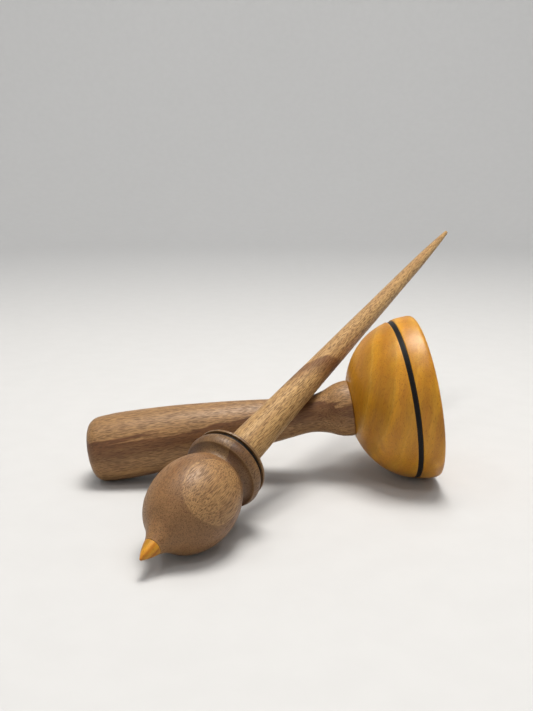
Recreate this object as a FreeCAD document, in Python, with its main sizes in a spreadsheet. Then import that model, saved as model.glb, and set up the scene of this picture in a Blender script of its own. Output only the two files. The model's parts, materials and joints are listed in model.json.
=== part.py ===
import FreeCAD, Part
import math
import os
import Sketcher

# A supported spindle resting across the handle of the lap bowl it spins in.
# Everything is turned wood, so every piece is a solid of revolution drawn along
# its own Z axis: the lap bowl set from the rim plane (0) to the butt of the
# handle, the spindle from the point it spins on (0) to its fine end.
# The row frame is +Z up with its origin under the middle of both objects.

Vector = FreeCAD.Vector
FLOOR_FIT_ROUNDS = 6
OUTLINE_SAMPLES = 400
LOCAL_AXIS = Vector(0, 0, 1)

DIMENSIONS = [
    # lap bowl: the amber cup
    ("rim_round", 1.5, "rounding of the rim's outer edge, along the axis"),
    ("rim_face_radius", 33.3, "outer edge of the rim's flat face"),
    ("rim_radius", 34.55, "outside of the bowl just behind its rim"),
    ("dome_turn_at", 21.5, "where the dome turns in faster"),
    ("dome_turn_radius", 27.85, "outside of the bowl there"),
    ("dome_curve", 27.9, "radius of the dome's front curve"),
    ("dome_foot_curve", 31.7, "radius of the dome's rear curve"),
    ("bowl_depth", 31.6, "rim plane to the joint with the handle"),
    ("bowl_foot_radius", 11.3, "outside of the bowl at that joint"),
    ("cup_lip_radius", 31.7, "inner edge of the rim's flat face"),
    ("cup_lip_round", 0.9, "rounding of the rim's inner edge, along the axis"),
    ("cup_mouth_radius", 31.0, "inside of the cup behind that rounding"),
    ("cup_curve", 38.5, "radius of the cup's inner curve"),
    ("cup_depth", 16.2, "rim plane to the edge of the centre dimple"),
    ("cup_floor_radius", 3.6, "radius of the centre dimple"),
    ("dimple_depth", 17.0, "rim plane to the bottom of the dimple"),
    ("dimple_curve", 8.6, "radius of the dimple's curve"),
    ("dimple_flat_radius", 0.5, "flat at the bottom of the dimple"),
    ("channel_front", 8.8, "ring channel, edge nearer the rim"),
    ("channel_back", 10.8, "ring channel, edge nearer the handle"),
    ("channel_floor", 31.4, "radius of the channel's floor"),
    ("channel_open", 36.0, "radius clear of the bowl, for the cut"),
    ("socket_start", 22.2, "bottom of the blind hole for the handle's tenon"),
    ("socket_radius", 7.5, "radius of that hole"),
    # lap bowl: the black ring
    ("ring_front_radius", 33.5, "outside of the black ring nearer the rim"),
    ("ring_back_radius", 33.0, "outside of the black ring nearer the handle"),
    # lap bowl: the handle
    ("tenon_start", 22.6, "end of the handle's tenon"),
    ("tenon_radius", 7.45, "tenon, with a glue gap in its hole"),
    ("shoulder_radius", 11.3, "flat shoulder that meets the bowl"),
    ("shoulder_curve", 0.52, "radius of the shoulder's edge"),
    ("shoulder_round", 32.1, "end of the shoulder's rounded edge"),
    ("bead_radius", 11.8, "handle just past the shoulder"),
    ("bead_curve", 17.5, "radius of the swell beside the bowl"),
    ("bead_end", 39.6, "where the swell runs into the neck"),
    ("bead_end_radius", 10.1, "handle there"),
    ("neck_curve", 24.4, "radius of the hollow that makes the neck"),
    ("neck_at", 52.6, "the neck, just past its thinnest"),
    ("neck_radius", 7.72, "handle at the neck"),
    ("grip_start", 76.6, "end of the neck's straight flare"),
    ("grip_start_radius", 10.5, "handle there"),
    ("grip_curve", 490.0, "radius of the grip's long swell"),
    ("grip_swell_at", 126.6, "fullest part of the grip"),
    ("grip_swell_radius", 14.04, "handle there"),
    ("grip_end_curve", 95.0, "radius of the grip behind that"),
    ("butt_round", 137.6, "where the rounding of the butt starts"),
    ("butt_radius", 13.55, "handle there"),
    ("butt_curve", 5.5, "radius of that rounding"),
    ("set_length", 142.8, "rim plane to the flat of the butt"),
    ("butt_face_radius", 8.2, "flat of the butt"),
    # spindle: the amber point
    ("point_flat_radius", 0.12, "flat at the very end of the point"),
    ("point_blunt", 0.4, "length of the rounded end of the point"),
    ("point_blunt_radius", 0.55, "radius where that rounding ends"),
    ("point_curve", 24.0, "radius of the point's slightly full side"),
    ("point_length", 6.48, "apex to the base of the point"),
    ("point_radius", 3.2, "base of the point"),
    ("peg_radius", 1.45, "peg behind the point"),
    ("peg_end", 14.2, "end of that peg"),
    # spindle: the whorl's bulb
    ("nose_start", 6.58, "small end of the bulb's nose"),
    ("nose_radius", 3.25, "nose there"),
    ("nose_curve", 17.8, "radius of the hollow of the nose"),
    ("nose_end", 13.5, "where the hollow runs into the ball"),
    ("nose_end_radius", 8.5, "bulb there"),
    ("ball_front_curve", 17.4, "radius of the ball beside the nose"),
    ("ball_start", 19.5, "where the ball's main curve starts"),
    ("ball_start_radius", 13.25, "bulb there"),
    ("ball_curve", 24.9, "radius of the ball's main curve"),
    ("bulb_end", 44.2, "crisp edge where the bulb meets the collar"),
    ("bulb_end_radius", 11.45, "bulb there"),
    ("peg_hole_radius", 1.5, "hole for the point's peg"),
    ("peg_hole_end", 14.6, "bottom of that hole"),
    ("shaft_hole_end", 27.0, "bottom of the hole for the shaft's tenon"),
    ("shaft_hole_radius", 4.5, "radius of that hole"),
    # spindle: the whorl's collar
    ("cove_start_radius", 11.1, "root of the collar's cove"),
    ("cove_curve", 3.2, "radius of the cove"),
    ("cove_end", 47.2, "arris between the cove and the bead"),
    ("cove_end_radius", 14.1, "collar at that arris"),
    ("bead_swell", 4.4, "radius of the collar's bead"),
    ("collar_bead_end", 51.9, "end of the bead"),
    ("collar_bead_end_radius", 14.3, "collar there"),
    ("line_start", 52.0, "black line, edge nearer the bead"),
    ("line_end", 53.7, "black line, edge nearer the lip"),
    ("line_floor", 12.6, "radius of the line's channel floor"),
    ("line_open", 16.0, "radius clear of the collar, for the cut"),
    ("line_radius", 13.6, "outside of the black line"),
    ("lip_start_radius", 14.35, "collar's lip beside the black line"),
    ("lip_round", 54.4, "where the lip's top rounding starts"),
    ("lip_radius", 14.4, "lip there"),
    ("lip_curve", 0.62, "radius of that rounding"),
    ("lip_face_radius", 13.8, "outer edge of the collar's top face"),
    ("collar_end", 55.0, "top face of the collar"),
    # spindle: the shaft
    ("shaft_tenon_start", 27.4, "end of the shaft's tenon"),
    ("shaft_tenon_radius", 4.45, "tenon, with a glue gap in its holes"),
    ("shaft_radius", 7.18, "shaft at the collar"),
    ("shaft_flare_end", 118.0, "where the steeper taper beside the collar ends"),
    ("shaft_flare_radius", 5.7, "shaft there"),
    ("shaft_turn_at", 240.0, "where the straight taper ends"),
    ("shaft_turn_radius", 3.25, "shaft there"),
    ("shaft_full_curve", 1400.0, "radius of the last stretch's slight fullness"),
    ("shaft_end_round", 299.0, "where the rounding of the fine end starts"),
    ("shaft_end_radius", 1.03, "shaft there"),
    ("shaft_end_curve", 1.02, "radius of that rounding"),
    ("shaft_flat_radius", 0.25, "flat at the fine end"),
    ("spindle_length", 300.0, "apex of the point to the fine end"),
    # how the two objects lie
    ("set_heading", 2.83, "degrees from +X towards +Y, butt to bowl"),
    ("spindle_heading", 59.5, "degrees from +X towards +Y, point to fine end"),
    ("spindle_rise", 17.15, "degrees that the spindle rises"),
    ("point_to_rim_across", -106.4, "apex of the point from the rim's centre, along X"),
    ("point_to_rim_away", -98.0, "apex of the point from the rim's centre, along Y"),
]


def make_sheet(doc):
    sheet = doc.addObject("Spreadsheet::Sheet", "Dimensions")
    for row, (alias, number, meaning) in enumerate(DIMENSIONS, start=1):
        sheet.set(f"A{row}", meaning)
        sheet.set(f"B{row}", str(number))
        sheet.setAlias(f"B{row}", alias)
    doc.recompute()
    return sheet


def value(sheet, alias):
    """A cell's number; an alias of None stands for the axis or the zero plane."""
    return 0.0 if alias is None else float(sheet.get(alias))


def span_shape(start, end, way, radius):
    """A straight span, or an arc that swells or hollows the outline, anticlockwise."""
    if way == "line":
        return Part.LineSegment(start, end)
    if way == "cove":
        start, end = end, start
    chord = end - start
    sagitta = radius - math.sqrt(radius ** 2 - (chord.Length / 2) ** 2)
    bulge = Vector(chord.y, -chord.x, 0).normalize() * sagitta
    return Part.Arc(start, (start + end) / 2 + bulge, end)


def vertex_at(sketch, span, point):
    """1 or 2, the end of a span that lies at a point."""
    curve = sketch.Geometry[span]
    near_start = curve.StartPoint.distanceToPoint(point)
    return 1 if near_start < curve.EndPoint.distanceToPoint(point) else 2


def bind(sketch, kind, geometry, sheet, alias):
    """Adds a dimension and ties it to a cell."""
    index = sketch.addConstraint(Sketcher.Constraint(kind, *geometry, value(sheet, alias)))
    sketch.setExpression(f"Constraints[{index}]", f"{sheet.Name}.{alias}")


def place_vertex(sketch, sheet, span, end, out_alias, along_alias):
    vertical_axis, horizontal_axis = -2, -1
    origin = (-1, 1)
    for kind, alias, axis in (
        ("DistanceX", out_alias, vertical_axis),
        ("DistanceY", along_alias, horizontal_axis),
    ):
        if alias is None:
            sketch.addConstraint(Sketcher.Constraint("PointOnObject", span, end, axis))
        else:
            bind(sketch, kind, (*origin, span, end), sheet, alias)


def draw_outline(body, sheet, name, outline):
    """A closed half-outline in the XZ plane, anticlockwise.

    Each entry is (along, out, way, curve): the vertex, then how the outline goes
    on from it, as "line", or as "swell" or "cove", an arc of radius curve that
    bulges outwards or inwards.
    """
    sketch = body.newObject("Sketcher::SketchObject", name)
    plane = next(f for f in body.Origin.OriginFeatures if f.Role == "XZ_Plane")
    sketch.AttachmentSupport = [(plane, "")]
    sketch.MapMode = "FlatFace"
    points = [Vector(value(sheet, out), value(sheet, along), 0) for along, out, *_ in outline]
    ends = points[1:] + points[:1]
    for start, end, (_, _, way, curve) in zip(points, ends, outline):
        sketch.addGeometry(span_shape(start, end, way, value(sheet, curve)), False)
    for span, (along, out, way, curve) in enumerate(outline):
        before = (span - 1) % len(outline)
        end = vertex_at(sketch, span, points[span])
        joint = (before, vertex_at(sketch, before, points[span]), span, end)
        sketch.addConstraint(Sketcher.Constraint("Coincident", *joint))
        place_vertex(sketch, sheet, span, end, out, along)
        if way != "line":
            bind(sketch, "Radius", (span,), sheet, curve)
    return sketch


def turn(body, sheet, name, outline, kind="Revolution"):
    """Turns an outline about Z into wood, or for a Groove out of it."""
    sketch = draw_outline(body, sheet, f"{name}_outline", outline)
    before = body.Shape.Volume if kind == "Groove" else 0.0
    feature = body.newObject(f"PartDesign::{kind}", name)
    feature.Profile = sketch
    feature.ReferenceAxis = (sketch, ["V_Axis"])
    feature.Angle = 360
    body.Document.recompute()
    if kind == "Groove" and body.Shape.Volume >= before:
        raise RuntimeError(f"{name} cuts nothing")


def channel(front, back, floor, outside):
    """The outline of a square channel or ring."""
    return [
        (front, floor, "line", None),
        (front, outside, "line", None),
        (back, outside, "line", None),
        (back, floor, "line", None),
    ]


def bore(bottom, mouth, radius):
    """The outline of a hole on the axis."""
    return [
        (bottom, None, "line", None),
        (bottom, radius, "line", None),
        (mouth, radius, "line", None),
        (mouth, None, "line", None),
    ]


def new_body(doc, label):
    body = doc.addObject("PartDesign::Body", label)
    body.Label = label
    return body


def make_support_bowl(doc, sheet):
    body = new_body(doc, "support_bowl")
    turn(body, sheet, "blank", [
        (None, None, "line", None),
        (None, "rim_face_radius", "swell", "rim_round"),
        ("rim_round", "rim_radius", "swell", "dome_curve"),
        ("dome_turn_at", "dome_turn_radius", "swell", "dome_foot_curve"),
        ("bowl_depth", "bowl_foot_radius", "line", None),
        ("bowl_depth", None, "line", None),
    ])
    turn(body, sheet, "cup", [
        (None, None, "line", None),
        (None, "cup_lip_radius", "cove", "cup_lip_round"),
        ("cup_lip_round", "cup_mouth_radius", "swell", "cup_curve"),
        ("cup_depth", "cup_floor_radius", "swell", "dimple_curve"),
        ("dimple_depth", "dimple_flat_radius", "line", None),
        ("dimple_depth", None, "line", None),
    ], "Groove")
    turn(body, sheet, "ring_channel",
         channel("channel_front", "channel_back", "channel_floor", "channel_open"), "Groove")
    turn(body, sheet, "tenon_socket", bore("socket_start", "bowl_depth", "socket_radius"), "Groove")
    return body


def make_bowl_ring(doc, sheet):
    body = new_body(doc, "bowl_ring")
    turn(body, sheet, "ring", [
        ("channel_front", "channel_floor", "line", None),
        ("channel_front", "ring_front_radius", "line", None),
        ("channel_back", "ring_back_radius", "line", None),
        ("channel_back", "channel_floor", "line", None),
    ])
    return body


def make_bowl_handle(doc, sheet):
    body = new_body(doc, "bowl_handle")
    turn(body, sheet, "handle", [
        ("tenon_start", None, "line", None),
        ("tenon_start", "tenon_radius", "line", None),
        ("bowl_depth", "tenon_radius", "line", None),
        ("bowl_depth", "shoulder_radius", "swell", "shoulder_curve"),
        ("shoulder_round", "bead_radius", "swell", "bead_curve"),
        ("bead_end", "bead_end_radius", "cove", "neck_curve"),
        ("neck_at", "neck_radius", "line", None),
        ("grip_start", "grip_start_radius", "swell", "grip_curve"),
        ("grip_swell_at", "grip_swell_radius", "swell", "grip_end_curve"),
        ("butt_round", "butt_radius", "swell", "butt_curve"),
        ("set_length", "butt_face_radius", "line", None),
        ("set_length", None, "line", None),
    ])
    return body


def make_spindle_tip(doc, sheet):
    body = new_body(doc, "spindle_tip")
    turn(body, sheet, "point", [
        (None, None, "line", None),
        (None, "point_flat_radius", "swell", "point_blunt_radius"),
        ("point_blunt", "point_blunt_radius", "swell", "point_curve"),
        ("point_length", "point_radius", "line", None),
        ("point_length", "peg_radius", "line", None),
        ("peg_end", "peg_radius", "line", None),
        ("peg_end", None, "line", None),
    ])
    return body


def make_whorl_bulb(doc, sheet):
    body = new_body(doc, "whorl_bulb")
    turn(body, sheet, "ball", [
        ("nose_start", None, "line", None),
        ("nose_start", "nose_radius", "cove", "nose_curve"),
        ("nose_end", "nose_end_radius", "swell", "ball_front_curve"),
        ("ball_start", "ball_start_radius", "swell", "ball_curve"),
        ("bulb_end", "bulb_end_radius", "line", None),
        ("bulb_end", None, "line", None),
    ])
    turn(body, sheet, "peg_hole", bore("nose_start", "peg_hole_end", "peg_hole_radius"), "Groove")
    turn(body, sheet, "shaft_hole", bore("shaft_hole_end", "bulb_end", "shaft_hole_radius"), "Groove")
    return body


def make_whorl_collar(doc, sheet):
    body = new_body(doc, "whorl_collar")
    turn(body, sheet, "disc", [
        ("bulb_end", None, "line", None),
        ("bulb_end", "cove_start_radius", "cove", "cove_curve"),
        ("cove_end", "cove_end_radius", "swell", "bead_swell"),
        ("collar_bead_end", "collar_bead_end_radius", "line", None),
        ("line_end", "lip_start_radius", "line", None),
        ("lip_round", "lip_radius", "swell", "lip_curve"),
        ("collar_end", "lip_face_radius", "line", None),
        ("collar_end", None, "line", None),
    ])
    turn(body, sheet, "line_channel",
         channel("line_start", "line_end", "line_floor", "line_open"), "Groove")
    turn(body, sheet, "through_hole", bore("bulb_end", "collar_end", "shaft_hole_radius"), "Groove")
    return body


def make_whorl_ring(doc, sheet):
    body = new_body(doc, "whorl_ring")
    turn(body, sheet, "line", channel("line_start", "line_end", "line_floor", "line_radius"))
    return body


def make_spindle_shaft(doc, sheet):
    body = new_body(doc, "spindle_shaft")
    turn(body, sheet, "taper", [
        ("shaft_tenon_start", None, "line", None),
        ("shaft_tenon_start", "shaft_tenon_radius", "line", None),
        ("collar_end", "shaft_tenon_radius", "line", None),
        ("collar_end", "shaft_radius", "line", None),
        ("shaft_flare_end", "shaft_flare_radius", "line", None),
        ("shaft_turn_at", "shaft_turn_radius", "swell", "shaft_full_curve"),
        ("shaft_end_round", "shaft_end_radius", "swell", "shaft_end_curve"),
        ("spindle_length", "shaft_flat_radius", "line", None),
        ("spindle_length", None, "line", None),
    ])
    return body


def floor_tilt(bowl, handle):
    """The tilt at which a plane touches both the bowl's side and the handle's."""
    outlines = []
    for body in (bowl, handle):
        edges = body.Shape.slice(Vector(0, 1, 0), 0.0)
        points = [p for wire in edges for p in wire.discretize(OUTLINE_SAMPLES)]
        outlines.append(points)
    tilt = 0.0
    for _ in range(FLOOR_FIT_ROUNDS):
        low = [max(points, key=lambda p: p.z * math.sin(tilt) + p.x * math.cos(tilt))
               for points in outlines]
        tilt = math.atan2(low[0].x - low[1].x, low[1].z - low[0].z)
    return math.degrees(tilt)


def lie(direction_degrees, rise_degrees):
    """The rotation that lays a local Z axis along a heading and a rise."""
    across = math.cos(math.radians(rise_degrees))
    towards = Vector(across * math.cos(math.radians(direction_degrees)),
                     across * math.sin(math.radians(direction_degrees)),
                     math.sin(math.radians(rise_degrees)))
    return FreeCAD.Rotation(LOCAL_AXIS, towards)


def lowest(bodies):
    return min(body.Shape.optimalBoundingBox(False).ZMin for body in bodies)


def put(bodies, rotation, base):
    """Lays a rigid group down with its lowest point on the floor."""
    for body in bodies:
        body.Placement = FreeCAD.Placement(base, rotation)
    lift = Vector(0, 0, -lowest(bodies))
    for body in bodies:
        body.Placement = FreeCAD.Placement(base + lift, rotation)


def centre_on_origin(bodies):
    """Moves everything so that the origin is under the middle of it all."""
    box = FreeCAD.BoundBox()
    for body in bodies:
        box.add(body.Shape.optimalBoundingBox(False))
    shift = FreeCAD.Placement(Vector(-box.Center.x, -box.Center.y, -box.ZMin), FreeCAD.Rotation())
    for body in bodies:
        body.Placement = shift * body.Placement


def check(doc, bodies):
    for item in doc.Objects:
        if {"Invalid", "Error"} & set(item.State):
            raise RuntimeError(f"{item.Label} did not compute: {item.State}")
    for body in bodies:
        if body.Shape.isNull() or not body.Shape.isValid() or len(body.Shape.Solids) != 1:
            raise RuntimeError(f"{body.Label} is not one valid solid")


def main():
    doc = FreeCAD.newDocument("supported_spindle")
    sheet = make_sheet(doc)
    lap_bowl = [make(doc, sheet) for make in (make_support_bowl, make_bowl_ring, make_bowl_handle)]
    spindle = [make(doc, sheet) for make in (make_spindle_tip, make_whorl_bulb, make_whorl_collar,
                                             make_whorl_ring, make_spindle_shaft)]
    bodies = lap_bowl + spindle
    check(doc, bodies)

    half_circle = 180
    tilt = floor_tilt(lap_bowl[0], lap_bowl[2])
    put(lap_bowl, lie(value(sheet, "set_heading") + half_circle, -tilt), Vector())
    put(spindle, lie(value(sheet, "spindle_heading"), value(sheet, "spindle_rise")),
        Vector(value(sheet, "point_to_rim_across"), value(sheet, "point_to_rim_away"), 0))
    centre_on_origin(bodies)
    doc.recompute()
    check(doc, bodies)

    os.makedirs("parts", exist_ok=True)
    for body in bodies:
        body.Shape.exportStep(f"parts/{body.Label}.step")
        print(f"{body.Label:14s} {body.Shape.Volume / 1000:8.3f} cm3")
    gap = spindle[-1].Shape.distToShape(lap_bowl[2].Shape)[0]
    print(f"set tilt {tilt:.3f} degrees, spindle to handle {gap:.3f} mm")


main()
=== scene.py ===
import json
import math

import bpy
from mathutils import Matrix, Vector, noise


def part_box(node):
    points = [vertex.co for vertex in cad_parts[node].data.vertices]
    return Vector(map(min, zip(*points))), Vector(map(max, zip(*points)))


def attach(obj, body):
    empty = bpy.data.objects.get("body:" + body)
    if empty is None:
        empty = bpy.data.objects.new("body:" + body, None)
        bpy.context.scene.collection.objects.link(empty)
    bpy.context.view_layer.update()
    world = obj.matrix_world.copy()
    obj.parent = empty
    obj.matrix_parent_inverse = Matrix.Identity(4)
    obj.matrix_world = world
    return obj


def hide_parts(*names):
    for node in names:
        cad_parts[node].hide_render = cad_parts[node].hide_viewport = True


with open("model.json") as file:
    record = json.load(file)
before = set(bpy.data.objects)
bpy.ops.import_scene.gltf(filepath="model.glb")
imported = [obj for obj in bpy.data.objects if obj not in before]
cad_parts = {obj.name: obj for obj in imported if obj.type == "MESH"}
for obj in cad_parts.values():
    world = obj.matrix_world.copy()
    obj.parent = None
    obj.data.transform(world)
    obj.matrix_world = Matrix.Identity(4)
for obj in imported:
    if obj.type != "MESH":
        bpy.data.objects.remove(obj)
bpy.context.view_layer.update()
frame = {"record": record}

# A supported spindle leaning on the handle of its lap bowl. Every piece is turned wood, so each is
# revolved here from the same outline as its CAD node, in finer steps, with eased edges and the slight
# unevenness of hand work. A piece's lengths are in millimetres in its own frame: Z is the turning axis,
# X lies level and Y points up as far as the lean allows. The stage, lights and camera are in metres.

MM = 0.001
MOUNTS = {mount["name"]: mount for mount in frame["record"]["mounts"]}
BOX_TOLERANCE = 0.4 * MM

# Lap bowl: places along its axis from the rim towards the butt, and radii.
CUP_DEPTH = 17.0
CHANNEL_START, CHANNEL_END, CHANNEL_FLOOR = 8.8, 10.8, 31.4
CUP_END, CUP_END_RADIUS = 31.6, 11.3
SET_LENGTH = 142.8

# Spindle: places along its axis from the tip of the point towards the fine end, and radii.
BALL_START, BALL_END = 6.58, 44.2
SHAFT_BORE = 4.5
LINE_START, LINE_END, LINE_FLOOR = 52.0, 53.7, 12.6
COLLAR_END = 55.0
SPINDLE_LENGTH = 300.0

FLOOR_RADIUS, FLOOR_SWEEP, WALL_TOP = 1.3, 0.8, 1.4
WALL_RADIUS = FLOOR_RADIUS + FLOOR_SWEEP


# ---------------------------------------------------------------- placing

def standing(origin, axis):
    """The matrix from a piece's own frame, which starts at origin and runs along axis."""
    z = Vector(axis).normalized()
    x = Vector((0, 0, 1)).cross(z).normalized()
    turn_to = Matrix((x, z.cross(x), z)).transposed()
    return Matrix.Translation(origin) @ turn_to.to_4x4()


def spindle_place():
    point = MOUNTS["spindle_point"]
    return standing(Vector(point["pos_m"]), -Vector(point["axis"]))


def bowl_place():
    """The lap bowl is measured from the middle of its rim plane towards the butt of its handle."""
    butt = MOUNTS["handle_butt"]
    axis = Vector(butt["axis"]).normalized()
    return standing(Vector(butt["pos_m"]) - axis * SET_LENGTH * MM, axis)


# ---------------------------------------------------------------- outlines
#
# An outline is a list of (z, r, curve): a point, and the radius of the arc from it to the next point.
# The curve is 0 for a straight stretch and negative for a hollow one.

def arc_points(start, end, curve, count):
    """Points on an arc from start up to, but not including, end."""
    (z0, r0), (z1, r1) = start, end
    chord = math.dist(start, end)
    depth = math.copysign(math.sqrt(curve ** 2 - (chord / 2) ** 2), curve)
    centre = ((z0 + z1) / 2 + depth * (r1 - r0) / chord, (r0 + r1) / 2 - depth * (z1 - z0) / chord)
    first = math.atan2(r0 - centre[1], z0 - centre[0])
    sweep = math.copysign(2 * math.asin(chord / 2 / abs(curve)), -curve)
    radius = abs(curve)
    return [(centre[0] + radius * math.cos(first + sweep * i / count),
             centre[1] + radius * math.sin(first + sweep * i / count)) for i in range(count)]


def span_points(start, end, curve, step):
    """Points at most about step apart, from start up to, but not including, end."""
    count = max(2, math.ceil(math.dist(start, end) / step))
    if curve:
        return arc_points(start, end, curve, count)
    return [tuple(p + (q - p) * i / count for p, q in zip(start, end)) for i in range(count)]


def turned_angle(before, here, after):
    """How far an outline turns at a point; positive at an outer edge."""
    coming = math.atan2(here[1] - before[1], here[0] - before[0])
    going = math.atan2(after[1] - here[1], after[0] - here[0])
    return (coming - going + math.pi) % (2 * math.pi) - math.pi


def rounded(before, here, after, ease):
    """A small curve that replaces a sharp point of an outline and starts about ease away from it."""
    steps, longest_share = 6, 0.45
    ends = []
    for other in (before, after):
        reach = min(ease / math.dist(here, other), longest_share)
        ends.append([p + (q - p) * reach for p, q in zip(here, other)])
    guides = (ends[0], here, ends[1])
    curve = []
    for i in range(steps + 1):
        t = i / steps
        weights = ((1 - t) ** 2, 2 * t * (1 - t), t ** 2)
        curve.append(tuple(sum(w * p[k] for w, p in zip(weights, guides)) for k in (0, 1)))
    return curve


def profile(outline, step, ease, cyclic):
    """Points (z, r) of an outline with eased corners, and its corners as (z, r, angle)."""
    sharp = 0.2
    points, joints = [], set()
    spans = zip(outline, outline[1:] + (outline[:1] if cyclic else []))
    for (z0, r0, curve), (z1, r1, _) in spans:
        joints.add(len(points))
        points += span_points((z0, r0), (z1, r1), curve, step)
    if not cyclic:
        joints.discard(0)
        points.append(outline[-1][:2])
    result, corners = [], []
    for i, point in enumerate(points):
        before, after = points[i - 1], points[(i + 1) % len(points)]
        angle = turned_angle(before, point, after) if i in joints else 0.0
        if abs(angle) > sharp:
            corners.append((*point, angle))
            result += rounded(before, point, after, ease)
        else:
            result.append(point)
    return result, corners


# ---------------------------------------------------------------- turning

def edge_wear_and_corner_shade_at(z, r, corners):
    """Above 0 near an outer edge, where the wood is worn, and below 0 in an inner corner, where shade is
    painted.
    """
    reach = 0.55
    return sum(angle * math.exp(-((z - cz) ** 2 + (r - cr) ** 2) / reach ** 2) for cz, cr, angle in corners)


def unevenness(z, angle, seed):
    """Relative radial error of hand turning and sanding, about -0.5 to 0.5."""
    across, along = 1.2, 0.05
    return noise.noise(Vector((across * math.cos(angle) + seed, across * math.sin(angle), along * z)))


def grain_frame(fibre, outward):
    """Rows that turn a piece's own frame into its wood's: X away from the pith, Z along the fibre."""
    z = Vector(fibre).normalized()
    x = Vector(outward)
    x = (x - z * x.dot(z)).normalized()
    return Matrix((x, z.cross(x), z))


def turn(name, node, body, place, outline, material, grain, step, around, ease=0.25, uneven=0.06,
         cyclic=False):
    """Revolves an outline into a closed solid that stands for a CAD node."""
    rows, corners = profile(outline, step, ease, cyclic)
    seed = sum(map(ord, name)) % 97
    full_from = 3.0
    vertices, grains, edge_wear_and_corner_shade_values, stations, loops = [], [], [], [], []
    for z, r in rows:
        columns = 1 if r == 0 else around
        loops.append([len(vertices) + i for i in range(columns)])
        for i in range(columns):
            angle = 2 * math.pi * i / around
            radius = r + uneven * min(1.0, r / full_from) * unevenness(z, angle, seed) if r else 0.0
            local = Vector((radius * math.cos(angle), radius * math.sin(angle), z))
            vertices.append(place @ (local * MM))
            grains.extend(grain @ local)
            edge_wear_and_corner_shade_values.append(edge_wear_and_corner_shade_at(z, r, corners))
            stations.append(z)
    faces = []
    for low, high in zip(loops, loops[1:] + (loops[:1] if cyclic else [])):
        for i in range(around):
            corner_cycle = [low[i % len(low)], low[(i + 1) % len(low)],
                            high[(i + 1) % len(high)], high[i % len(high)]]
            faces.append(list(dict.fromkeys(corner_cycle)))
    mesh = bpy.data.meshes.new(name)
    mesh.from_pydata(vertices, [], faces)
    mesh.attributes.new("grain", "FLOAT_VECTOR", "POINT").data.foreach_set("vector", grains)
    mesh.attributes.new("edge_wear_and_corner_shade", "FLOAT", "POINT").data.foreach_set("value", edge_wear_and_corner_shade_values)
    mesh.attributes.new("station", "FLOAT", "POINT").data.foreach_set("value", stations)
    mesh.shade_smooth()
    mesh.materials.append(material)
    piece = bpy.data.objects.new(name, mesh)
    bpy.context.scene.collection.objects.link(piece)
    check_size(piece, node)
    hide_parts(node)
    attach(piece, body)


def check_size(piece, node):
    """Stops if a piece isn't the size of the CAD node that it stands for."""
    low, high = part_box(node)
    for axis in range(3):
        values = [vertex.co[axis] for vertex in piece.data.vertices]
        if max(abs(min(values) - low[axis]), abs(max(values) - high[axis])) > BOX_TOLERANCE:
            raise RuntimeError(f"{piece.name} is not the size of {node}")


# ---------------------------------------------------------------- node helper

class Nodes:
    """Builds one material's node tree with short calls."""

    def __init__(self, name):
        self.material = bpy.data.materials.new(name)
        self.material.use_nodes = True
        self.tree = self.material.node_tree
        self.tree.nodes.clear()

    def add(self, kind, inputs=None, **settings):
        node = self.tree.nodes.new(kind)
        for key, setting in settings.items():
            setattr(node, key, setting)
        for key, source in (inputs or {}).items():
            self.feed(node.inputs[key], source)
        return node

    def feed(self, socket, source):
        if isinstance(source, bpy.types.NodeSocket):
            self.tree.links.new(source, socket)
        elif socket.type == "RGBA" and len(source) == 3:
            socket.default_value = (*source, 1.0)
        else:
            socket.default_value = source

    def attribute(self, name, output="Fac"):
        return self.add("ShaderNodeAttribute", attribute_name=name).outputs[output]

    def math(self, operation, *values, clamp=False):
        return self.add("ShaderNodeMath", dict(enumerate(values)), operation=operation,
                        use_clamp=clamp).outputs[0]

    def vector(self, operation, *values):
        return self.add("ShaderNodeVectorMath", dict(enumerate(values)), operation=operation).outputs[0]

    def noise(self, place, stretch, detail=2.0, roughness=0.5, output="Fac"):
        """Noise that changes stretch times in one unit of place."""
        inputs = {"Vector": self.vector("MULTIPLY", place, stretch), "Scale": 1.0, "Detail": detail,
                  "Roughness": roughness}
        return self.add("ShaderNodeTexNoise", inputs).outputs[output]

    def line_noise(self, value, scale, detail):
        inputs = {"W": value, "Scale": scale, "Detail": detail}
        return self.add("ShaderNodeTexNoise", inputs, noise_dimensions="1D").outputs[0]

    def smooth(self, value, low, high, out_low=0.0, out_high=1.0):
        inputs = {0: value, 1: low, 2: high, 3: out_low, 4: out_high}
        return self.add("ShaderNodeMapRange", inputs, interpolation_type="SMOOTHSTEP").outputs[0]

    def blend(self, factor, one, two):
        node = self.add("ShaderNodeMix", {0: factor}, data_type="RGBA")
        self.feed(node.inputs[6], one)
        self.feed(node.inputs[7], two)
        return node.outputs[2]

    def shade(self, colour, factor):
        """Colour made lighter or darker by a factor near 1."""
        grey = self.add("ShaderNodeCombineXYZ", {0: factor, 1: factor, 2: factor}).outputs[0]
        return self.vector("MULTIPLY", colour, grey)

    def ramp(self, value, low, low_colour, high, high_colour):
        node = self.add("ShaderNodeValToRGB", {0: value})
        node.color_ramp.interpolation = "EASE"
        stops = ((low, low_colour), (high, high_colour))
        for element, (position, colour) in zip(node.color_ramp.elements, stops):
            element.position = position
            element.color = (*colour, 1.0)
        return node.outputs[0]

    def bump(self, height, distance, strength):
        return self.add("ShaderNodeBump", {"Height": height, "Distance": distance,
                                           "Strength": strength}).outputs[0]

    def surface(self, colour, roughness, normal, specular, coat=0.0, coat_roughness=0.25):
        shader = self.add("ShaderNodeBsdfPrincipled", {
            "Base Color": colour, "Roughness": roughness, "Normal": normal, "Coat Weight": coat,
            "Coat Roughness": coat_roughness, "Specular IOR Level": specular})
        self.add("ShaderNodeOutputMaterial", {"Surface": shader.outputs[0]})
        return self.material


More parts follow.
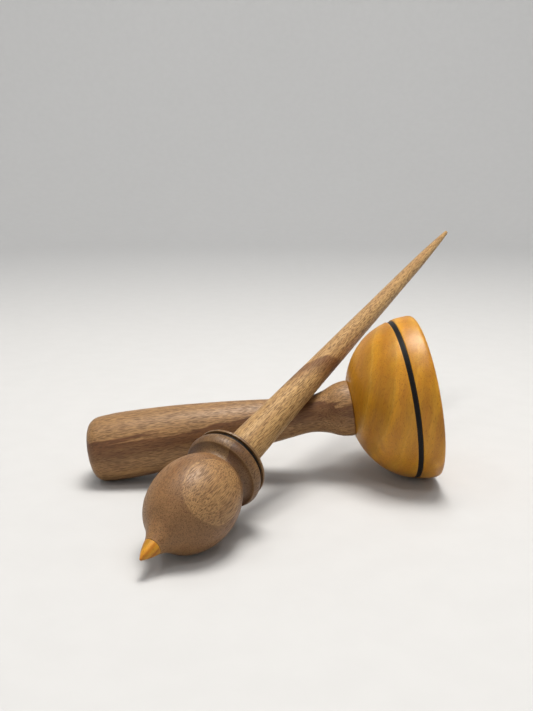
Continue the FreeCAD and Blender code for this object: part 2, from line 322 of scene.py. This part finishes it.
# ---------------------------------------------------------------- wood
#
# In a wood's look, ring_contrast says how dark a ring gets towards its end, ring_line how strong the
# thin line between two rings is, in the colour "line", and ring_variety how much the rings differ.
# A ring's dark end fades over edge mm. Soft rings grow dark and then pale again, with no sharp end.
# pore_cell and pore_length are in mm; pore_share is how much of a cell its pore fills, first where a
# ring starts and then where it ends.

COLOURS = ("pale", "mid", "dark", "line", "pore")
WALNUT = {
    "pale": (0.37, 0.205, 0.080), "mid": (0.21, 0.092, 0.034), "dark": (0.090, 0.028, 0.009),
    "line": (0.075, 0.025, 0.009), "pore": (0.070, 0.028, 0.011),
    "ring_contrast": 0.3, "ring_line": 0.45, "ring_variety": 0.10, "edge": 0.35, "soft": False,
    "pore_depth": 0.72, "pore_cell": 0.42, "pore_length": 4.6, "pore_share": (0.56, 0.47),
    "fibre_shade": 0.22, "roughness": 0.42, "coat": 0.04, "coat_roughness": 0.3, "specular": 0.32,
}
AMBER = {
    "pale": (0.50, 0.225, 0.010), "mid": (0.39, 0.135, 0.005), "dark": (0.31, 0.090, 0.003),
    "line": (0.60, 0.33, 0.040), "pore": (0.18, 0.050, 0.003),
    "ring_contrast": 0.36, "ring_line": 0.55, "ring_variety": 0.14, "edge": 0.0, "soft": True,
    "pore_depth": 0.45, "pore_cell": 0.6, "pore_length": 2.6, "pore_share": (0.30, 0.34),
    "fibre_shade": 0.10, "roughness": 0.38, "coat": 0.06, "coat_roughness": 0.25, "specular": 0.35,
}

# How often each mark changes in a millimetre: twice across the fibre, then along it.
DRIFT = (0.06, 0.06, 0.012)
FRAY = (0.4, 0.4, 0.035)
BAND_EDGE = (0.5, 0.5, 0.12)
STREAKS = (0.45, 0.45, 0.014)
FIBRES = (3.4, 3.4, 0.11)
MOTTLE = (0.22, 0.22, 0.10)
BLACK_FIBRES = (2.6, 2.6, 0.3)
SANDING = 4.0


def count_years(nodes, grain, pith, ring_at, pitch, warp, ragged):
    """Years from a known ring boundary, ring_at mm out from the piece's axis; the pith is pith mm away."""
    drift = nodes.noise(grain, DRIFT, output="Color")
    drift = nodes.vector("MULTIPLY", nodes.vector("SUBTRACT", drift, (0.5, 0.5, 0.5)), (warp, warp, 0.0))
    place = nodes.vector("MULTIPLY", nodes.vector("ADD", grain, drift), (1.0, 1.0, 0.0))
    from_pith = nodes.vector("ADD", place, (pith, 0.0, 0.0))
    distance = nodes.add("ShaderNodeVectorMath", {0: from_pith}, operation="LENGTH").outputs["Value"]
    frayed = nodes.math("MULTIPLY", nodes.noise(grain, FRAY, detail=6.0), ragged)
    distance = nodes.math("ADD", distance, frayed)
    return nodes.math("DIVIDE", nodes.math("SUBTRACT", distance, pith + ring_at + ragged / 2), pitch)


def ring_colour(nodes, look, years, pitch):
    """The season, which is 0 where a ring starts and 1 where it is darkest, and the rings' colour."""
    year_tone = nodes.line_noise(years, scale=1.3, detail=2.0)
    if look["soft"]:
        season = nodes.math("MULTIPLY", nodes.math("PINGPONG", years, 0.5), 2.0)
        line = nodes.smooth(season, 0.0, 0.15, look["ring_line"], 0.0)
        line = nodes.math("MULTIPLY", line, nodes.smooth(year_tone, 0.35, 0.65))
    else:
        line_start, line_full = 0.7, 0.2
        season = nodes.math("FRACT", years)
        line = nodes.smooth(season, 1.0 - line_start / pitch, 1.0 - line_full / pitch,
                            0.0, look["ring_line"])
    late = nodes.smooth(season, 0.15, 1.0, 0.0, look["ring_contrast"])
    if look["edge"]:
        fade = nodes.smooth(season, 1.0 - look["edge"] / pitch, 1.0, 1.0, 0.0)
        late, line = nodes.math("MULTIPLY", late, fade), nodes.math("MULTIPLY", line, fade)
    colour = nodes.blend(line, nodes.blend(late, look["pale"], look["dark"]), look["line"])
    variety = look["ring_variety"]
    return season, nodes.shade(colour, nodes.smooth(year_tone, 0.3, 0.7, 1 + variety, 1 - variety))


def dark_band(nodes, grain, station, end, lean):
    """A dark growth band across a piece: it deepens slowly along the axis and stops short at end mm."""
    fray, rise_length, stop_start, stop_end, depth = 8.0, 22.0, 3.0, 7.0, 0.75
    across = nodes.add("ShaderNodeSeparateXYZ", {0: grain}).outputs[0]
    place = nodes.math("ADD", station, nodes.math("MULTIPLY", across, lean))
    ragged = nodes.noise(grain, BAND_EDGE, detail=3.0)
    place = nodes.math("ADD", place, nodes.math("MULTIPLY", ragged, fray))
    rise = nodes.smooth(place, end - rise_length, end + 2.0)
    stop = nodes.smooth(place, end + stop_start, end + stop_end, 1.0, 0.0)
    return nodes.math("MULTIPLY", nodes.math("MULTIPLY", rise, stop), depth)


def figure(nodes, look, grain, fibre, colour):
    """Colour with brown streaks, fine fibre and a cloudy mottle over it."""
    streak = nodes.noise(grain, STREAKS, detail=3.0)
    colour = nodes.blend(nodes.smooth(streak, 0.45, 0.75, 0.0, 0.5), colour, look["mid"])
    shade = look["fibre_shade"]
    colour = nodes.shade(colour, nodes.smooth(fibre, 0.28, 0.72, 1 - shade, 1 + shade))
    mottle = nodes.noise(grain, MOTTLE, detail=3.0)
    return nodes.shade(colour, nodes.smooth(mottle, 0.3, 0.7, 0.93, 1.07))


def pores(nodes, grain, cell, length, share):
    """A mask of short vessels along the fibre, one in each cell of the given size in millimetres."""
    place = nodes.vector("MULTIPLY", grain, (1 / cell, 1 / cell, 1 / length))
    voronoi = nodes.add("ShaderNodeTexVoronoi", {"Vector": place, "Scale": 1.0})
    chance = nodes.add("ShaderNodeSeparateColor", {0: voronoi.outputs["Color"]}).outputs[0]
    inner = nodes.math("MULTIPLY", share, 0.5)
    dash = nodes.smooth(voronoi.outputs["Distance"], inner, share, 1.0, 0.0)
    return nodes.math("MULTIPLY", dash, nodes.smooth(chance, 0.0, 0.5, 0.4, 1.0))


def all_pores(nodes, look, grain, season):
    """Coarse pores and, between them, fainter ones of a smaller size."""
    smaller, fainter, elsewhere = 0.6, 0.7, (31.3, 17.7, 5.1)
    share = nodes.smooth(season, 0.1, 0.95, *look["pore_share"])
    coarse = pores(nodes, grain, look["pore_cell"], look["pore_length"], share)
    shifted = nodes.vector("ADD", grain, elsewhere)
    fine = pores(nodes, shifted, look["pore_cell"] * smaller, look["pore_length"] * smaller, share)
    return nodes.math("MAXIMUM", coarse, nodes.math("MULTIPLY", fine, fainter))


def wood_relief(nodes, station, fibre, vessels):
    """Raised fibre, sunken pores and the faint rings that sanding on the lathe leaves."""
    depth = 0.05 * MM
    sanding = nodes.line_noise(nodes.math("MULTIPLY", station, SANDING), scale=1.0, detail=3.0)
    height = nodes.math("SUBTRACT", nodes.math("MULTIPLY", fibre, 0.3), vessels)
    height = nodes.math("ADD", height, nodes.math("MULTIPLY", sanding, 0.25))
    return nodes.bump(height, depth, strength=0.5)


def wood_roughness(nodes, look, fibre, vessels, edge_wear_and_corner_shade):
    """Duller on coarse fibre and in pores, and polished by hands on the outer edges."""
    fibre_part, pore_part, polish = 0.16, 0.2, 0.08
    rough = nodes.math("ADD", nodes.math("MULTIPLY", fibre, fibre_part), look["roughness"] - fibre_part / 2)
    rough = nodes.math("ADD", rough, nodes.math("MULTIPLY", vessels, pore_part))
    return nodes.math("SUBTRACT", rough, nodes.smooth(edge_wear_and_corner_shade, 0.2, 1.2, 0.0, polish), clamp=True)


def wood(name, species, pith, ring_at, pitch, warp=2.0, ragged=0.7, tone=1.0, band=None, **changes):
    """A wood's material, for a piece cut pith mm from the middle of its tree."""
    look = {**species, **changes}
    look.update({key: tuple(tone * part for part in look[key]) for key in COLOURS})
    nodes = Nodes(name)
    grain = nodes.attribute("grain", "Vector")
    station = nodes.attribute("station")
    edge_wear_and_corner_shade = nodes.attribute("edge_wear_and_corner_shade")
    fibre = nodes.noise(grain, FIBRES, detail=4.0, roughness=0.65)

    years = count_years(nodes, grain, pith, ring_at, pitch, warp, ragged)
    season, colour = ring_colour(nodes, look, years, pitch)
    if band:
        colour = nodes.blend(dark_band(nodes, grain, station, *band), colour, look["dark"])
    colour = figure(nodes, look, grain, fibre, colour)
    vessels = all_pores(nodes, look, grain, season)
    colour = nodes.blend(nodes.math("MULTIPLY", vessels, look["pore_depth"]), colour, look["pore"])
    colour = nodes.blend(nodes.smooth(edge_wear_and_corner_shade, 0.15, 1.1, 0.0, 0.35), colour, look["pale"])
    # Painted shade: inner corners are blended towards the dark pore colour.
    colour = nodes.blend(nodes.smooth(edge_wear_and_corner_shade, -0.1, -1.0, 0.0, 0.7), colour, look["pore"])

    return nodes.surface(colour, wood_roughness(nodes, look, fibre, vessels, edge_wear_and_corner_shade),
                         wood_relief(nodes, station, fibre, vessels), look["specular"], look["coat"],
                         look["coat_roughness"])


def black_wood(name):
    darkest, dark, worn = (0.004, 0.0036, 0.0035), (0.012, 0.0105, 0.010), (0.025, 0.022, 0.02)
    nodes = Nodes(name)
    fibre = nodes.noise(nodes.attribute("grain", "Vector"), BLACK_FIBRES, detail=4.0, roughness=0.6)
    colour = nodes.ramp(fibre, 0.3, darkest, 0.7, dark)
    colour = nodes.blend(nodes.smooth(nodes.attribute("edge_wear_and_corner_shade"), 0.2, 1.4, 0.0, 0.5), colour, worn)
    relief = nodes.bump(fibre, 0.03 * MM, strength=0.5)
    return nodes.surface(colour, nodes.smooth(fibre, 0.3, 0.7, 0.3, 0.45), relief, specular=0.1)


# ---------------------------------------------------------------- pieces

def make_lap_bowl(place):
    across_the_cup = grain_frame((0.05, 0.955, -0.29), (-0.18, 0.29, 0.94))
    cup = [
        (CUP_DEPTH, 0.0, 0), (CUP_DEPTH, 0.5, -8.6),                        # dimple
        (16.2, 3.6, -38.5), (0.9, 31.0, 0.9),                               # dish
        (0.0, 31.7, 0), (0.0, 33.3, 1.5), (1.5, 34.55, 27.9),               # lip and rim
        (CHANNEL_START, 33.85, 0), (CHANNEL_START, CHANNEL_FLOOR, 0),
        (CHANNEL_END, CHANNEL_FLOOR, 0), (CHANNEL_END, 33.3, 27.9),         # channel for the black ring
        (21.5, 27.85, 31.7), (CUP_END, CUP_END_RADIUS, 0),                  # outside
        (CUP_END, 7.5, 0), (22.2, 7.5, 0), (22.2, 0.0, 0),                  # hole for the handle's tenon
    ]
    turn("cup_of_amber_wood", "support_bowl", "lap_bowl", place, cup,
         wood("amber_cup", AMBER, pith=120.0, ring_at=17.6, pitch=7.5, warp=6.0, ragged=1.5),
         across_the_cup, step=0.7, around=288, ease=0.28)

    ring = [(CHANNEL_START, CHANNEL_FLOOR, 0), (CHANNEL_START, 33.5, 0),
            (CHANNEL_END, 33.0, 0), (CHANNEL_END, CHANNEL_FLOOR, 0)]
    turn("cup_black_ring", "bowl_ring", "lap_bowl", place, ring, black_wood("black_ring"),
         across_the_cup, step=0.25, around=288, ease=0.12, uneven=0.02, cyclic=True)

    handle = [
        (22.6, 0.0, 0), (22.6, 7.45, 0), (CUP_END, 7.45, 0),                # tenon
        (CUP_END, CUP_END_RADIUS, 0.52), (32.1, 11.8, 17.5),                # swell beside the bowl
        (39.6, 10.1, -24.4), (52.6, 7.72, 0),                               # neck
        (76.6, 10.5, 490.0), (126.6, 14.04, 95.0), (137.6, 13.55, 5.5),     # grip
        (SET_LENGTH, 8.2, 0), (SET_LENGTH, 0.0, 0),                         # butt
    ]
    turn("walnut_handle", "bowl_handle", "lap_bowl", place, handle,
         wood("walnut_grip", WALNUT, pith=40.0, ring_at=7.4, pitch=18.0, warp=3.2, ragged=11.0,
              tone=0.95, ring_contrast=0.92, ring_line=0.0, edge=1.8),
         grain_frame((0.0, 0.01, 1.0), (0.05, 1.0, 0.0)), step=0.9, around=176, uneven=0.16)


def make_point(place):
    point = [
        (0.0, 0.0, 0), (0.0, 0.12, 0.55), (0.4, 0.55, 24.0), (6.48, 3.2, 0),    # cone
        (6.48, 1.45, 0), (14.2, 1.45, 0), (14.2, 0.0, 0),                       # peg
    ]
    turn("amber_point", "spindle_tip", "point", place, point,
         wood("amber_tip", AMBER, pith=30.0, ring_at=1.0, pitch=2.2, warp=3.0, ragged=1.5,
              ring_contrast=0.8, ring_variety=0.25, roughness=0.45),
         grain_frame((0.1, 0.2, 1.0), (0.4, 1.0, 0.0)), step=0.2, around=96, ease=0.3, uneven=0.1)


def make_spindle(place):
    along, level_side, eye_side = (0.0, 0.0, 1.0), (1.0, 0.0, 0.0), (-0.819, 0.574, 0.0)
    bulb = [
        (14.6, 0.0, 0), (14.6, 1.5, 0), (BALL_START, 1.5, 0),               # hole for the point's peg
        (BALL_START, 3.25, -17.8), (13.5, 8.5, 17.4), (19.5, 13.25, 24.9),  # nose and ball
        (BALL_END, 11.45, 0), (BALL_END, SHAFT_BORE, 0),
        (27.0, SHAFT_BORE, 0), (27.0, 0.0, 0),                              # hole for the shaft's tenon
    ]
    turn("walnut_ball", "whorl_bulb", "spindle", place, bulb,
         wood("walnut_ball", WALNUT, pith=50.0, ring_at=12.6, pitch=46.0, warp=1.6,
              tone=0.95, ring_contrast=0.52, ring_line=0.6, edge=0.7),
         grain_frame(along, eye_side), step=0.5, around=208, uneven=0.07)

    collar = [
        (BALL_END, SHAFT_BORE, 0), (BALL_END, 11.1, -3.2),                  # cove
        (47.2, 14.1, 4.4), (51.9, 14.3, 0), (LINE_START, 14.3, 0),          # bead
        (LINE_START, LINE_FLOOR, 0), (LINE_END, LINE_FLOOR, 0),             # groove for the black line
        (LINE_END, 14.35, 0), (54.4, 14.4, 0.62), (COLLAR_END, 13.8, 0),    # lip
        (COLLAR_END, SHAFT_BORE, 0),
    ]
    # The collar's rings keep its -X side dark out to the edge: partly its latewood, partly painted shade of
    # that side.
    turn("walnut_collar", "whorl_collar", "spindle", place, collar,
         wood("walnut_disc", WALNUT, pith=60.0, ring_at=-5.0, pitch=20.0, tone=0.6,
              ring_contrast=0.75, edge=0.6),
         grain_frame(along, level_side), step=0.35, around=208, ease=0.16, cyclic=True)

    line = [(LINE_START, LINE_FLOOR, 0), (LINE_START, 13.6, 0),
            (LINE_END, 13.6, 0), (LINE_END, LINE_FLOOR, 0)]
    turn("collar_black_line", "whorl_ring", "spindle", place, line, black_wood("black_line"),
         grain_frame(along, eye_side), step=0.25, around=208, ease=0.1, uneven=0.02, cyclic=True)

    shaft = [
        (27.4, 0.0, 0), (27.4, 4.45, 0), (COLLAR_END, 4.45, 0),             # tenon
        (COLLAR_END, 7.18, 0), (118.0, 5.7, 0), (240.0, 3.25, 1400.0),      # taper
        (299.0, 1.03, 1.02), (SPINDLE_LENGTH, 0.25, 0), (SPINDLE_LENGTH, 0.0, 0),
    ]
    turn("walnut_shaft", "spindle_shaft", "spindle", place, shaft,
         wood("walnut_taper", WALNUT, pith=60.0, ring_at=7.6, pitch=16.0, warp=1.2, tone=1.17,
              pale=(0.38, 0.235, 0.095), pore_depth=0.75, specular=0.22, roughness=0.46,
              band=(125.5, 1.95)),
         grain_frame(along, level_side), step=0.9, around=104, uneven=0.07)


# ---------------------------------------------------------------- stage, light, camera

def make_stage():
    """A pale round floor that sweeps up into a wall on every side."""
    around, steps = 96, 16
    angles = [math.pi / 2 * i / steps for i in range(steps + 1)]
    rows = [(0.0, 0.0), (0.3, 0.0), (0.8, 0.0)]
    rows += [(FLOOR_RADIUS + FLOOR_SWEEP * math.sin(a), FLOOR_SWEEP * (1 - math.cos(a))) for a in angles]
    rows.append((WALL_RADIUS, WALL_TOP))
    directions = [(math.cos(2 * math.pi * i / around), math.sin(2 * math.pi * i / around))
                  for i in range(around)]
    vertices = [(radius * x, radius * y, height) for radius, height in rows for x, y in directions]
    faces = []
    for start in range(0, (len(rows) - 1) * around, around):
        for i in range(around):
            j = (i + 1) % around
            faces.append((start + i, start + j, start + around + j, start + around + i))
    mesh = bpy.data.meshes.new("floor")
    mesh.from_pydata(vertices, [], faces)
    mesh.shade_smooth()
    mesh.materials.append(pale_paper())
    floor = bpy.data.objects.new("floor", mesh)
    bpy.context.scene.collection.objects.link(floor)


def pale_paper():
    nodes = Nodes("pale_paper")
    place = nodes.add("ShaderNodeTexCoord").outputs["Object"]
    fine = nodes.noise(place, (70.0, 70.0, 70.0), detail=3.0)
    colour = nodes.ramp(fine, 0.3, (0.535, 0.531, 0.523), 0.7, (0.545, 0.541, 0.533))
    return nodes.surface(colour, 0.7, nodes.bump(fine, 0.01 * MM, strength=0.1), specular=0.25)


def area_light(name, position, target, size, power, colour):
    data = bpy.data.lights.new(name, "AREA")
    data.size = size
    data.energy = power
    data.color = colour
    light = bpy.data.objects.new(name, data)
    light.location = position
    light.rotation_euler = (Vector(target) - Vector(position)).to_track_quat("-Z", "Y").to_euler()
    bpy.context.scene.collection.objects.link(light)


def make_light():
    """A soft light overhead, a weak one in front and one for each side of the wall."""
    world = bpy.data.worlds.new("studio")
    world.use_nodes = True
    background = world.node_tree.nodes["Background"]
    background.inputs["Color"].default_value = (0.93, 0.96, 1.0, 1.0)
    background.inputs["Strength"].default_value = 0.22
    bpy.context.scene.world = world
    bpy.context.scene.view_settings.view_transform = "Standard"
    middle = (0.0, 0.0, 0.03)
    area_light("overhead", (0.03, 0.03, 0.92), middle, size=0.4, power=9.8, colour=(1.0, 0.97, 0.93))
    area_light("front", (-0.55, -0.75, 0.55), middle, size=0.5, power=0.45, colour=(1.0, 0.98, 0.96))
    out, height, aim_height = 0.9, 1.6, 0.6
    for i, (x, y) in enumerate(((0, 1), (1, 0), (0, -1), (-1, 0))):
        position = (out * x, out * y, height)
        target = (WALL_RADIUS * x, WALL_RADIUS * y, aim_height)
        area_light(f"backdrop_{i}", position, target, size=0.6, power=14.0, colour=(1.0, 1.0, 1.0))


def make_camera():
    """The photograph's camera, fitted to the outlines of both objects."""
    place, pitch_down, turned_left, lens = (-0.014706, -0.358656, 0.122436), 11.882, 0.146, 40.86
    data = bpy.data.cameras.new("camera")
    data.lens = lens
    camera = bpy.data.objects.new("camera", data)
    camera.location = place
    camera.rotation_euler = (math.radians(90 - pitch_down), 0.0, math.radians(turned_left))
    bpy.context.scene.collection.objects.link(camera)
    bpy.context.scene.camera = camera


make_camera()
make_light()
make_stage()
make_lap_bowl(bowl_place())
make_point(spindle_place())
make_spindle(spindle_place())
